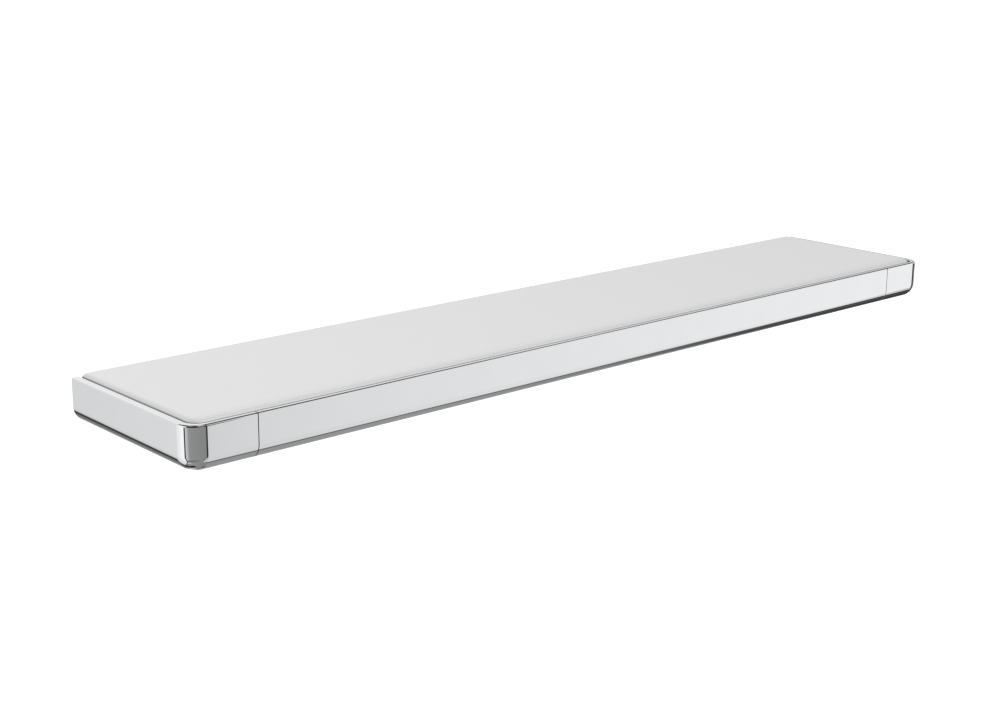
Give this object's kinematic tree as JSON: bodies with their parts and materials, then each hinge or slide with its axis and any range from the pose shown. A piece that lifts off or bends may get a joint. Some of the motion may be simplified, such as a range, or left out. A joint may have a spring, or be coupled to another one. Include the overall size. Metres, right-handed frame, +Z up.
{
  "type": "wall shelf",
  "caption": "Slim bathroom wall shelf: chromed tray with rounded edges and end caps, a lift-out satin white glass plate, and concealed wall brackets.",
  "frame": {"origin": "middle of the tray's rear face where it meets the wall, half way up the tray", "axes": "+X along the shelf to the right as seen from the room, +Y into the wall, +Z up"},
  "size_m": [0.6, 0.151, 0.0262],
  "materials": {
    "chrome": "polished chrome plating",
    "satin_glass": "satin, opaque white backed",
    "silicone_pad": "milky silicone",
    "zinc_bracket": "zinc plated, dull",
    "splice_aluminium": "mill finish",
    "screw_steel": "bright stainless"
  },
  "bodies": {
    "shelf_body": {"centre_profile": "chrome", "left_end_cap": "chrome", "right_end_cap": "chrome", "glass_pad_front_left_inner": "silicone_pad", "glass_pad_front_left_outer": "silicone_pad", "glass_pad_front_right_inner": "silicone_pad", "glass_pad_front_right_outer": "silicone_pad", "glass_pad_rear_left_inner": "silicone_pad", "glass_pad_rear_left_outer": "silicone_pad", "glass_pad_rear_right_inner": "silicone_pad", "glass_pad_rear_right_outer": "silicone_pad", "splice_plate_left_front": "splice_aluminium", "splice_plate_left_rear": "splice_aluminium", "splice_plate_right_front": "splice_aluminium", "splice_plate_right_rear": "splice_aluminium", "splice_screw_left_front_cap": "screw_steel", "splice_screw_left_front_profile": "screw_steel", "splice_screw_left_rear_cap": "screw_steel", "splice_screw_left_rear_profile": "screw_steel", "splice_screw_right_front_cap": "screw_steel", "splice_screw_right_front_profile": "screw_steel", "splice_screw_right_rear_cap": "screw_steel", "splice_screw_right_rear_profile": "screw_steel", "left_wall_bracket": "zinc_bracket", "right_wall_bracket": "zinc_bracket", "left_grub_screw": "screw_steel", "right_grub_screw": "screw_steel", "left_wall_screw_inner": "screw_steel", "left_wall_screw_outer": "screw_steel", "right_wall_screw_inner": "screw_steel", "right_wall_screw_outer": "screw_steel"},
    "glass": {"glass_shelf": "satin_glass"}
  },
  "joints": [
    {"name": "glass_lift", "type": "slide", "parent": "shelf_body", "child": "glass", "axis": [0, 0, 1], "range_m": [0, 0.03]}
  ]
}
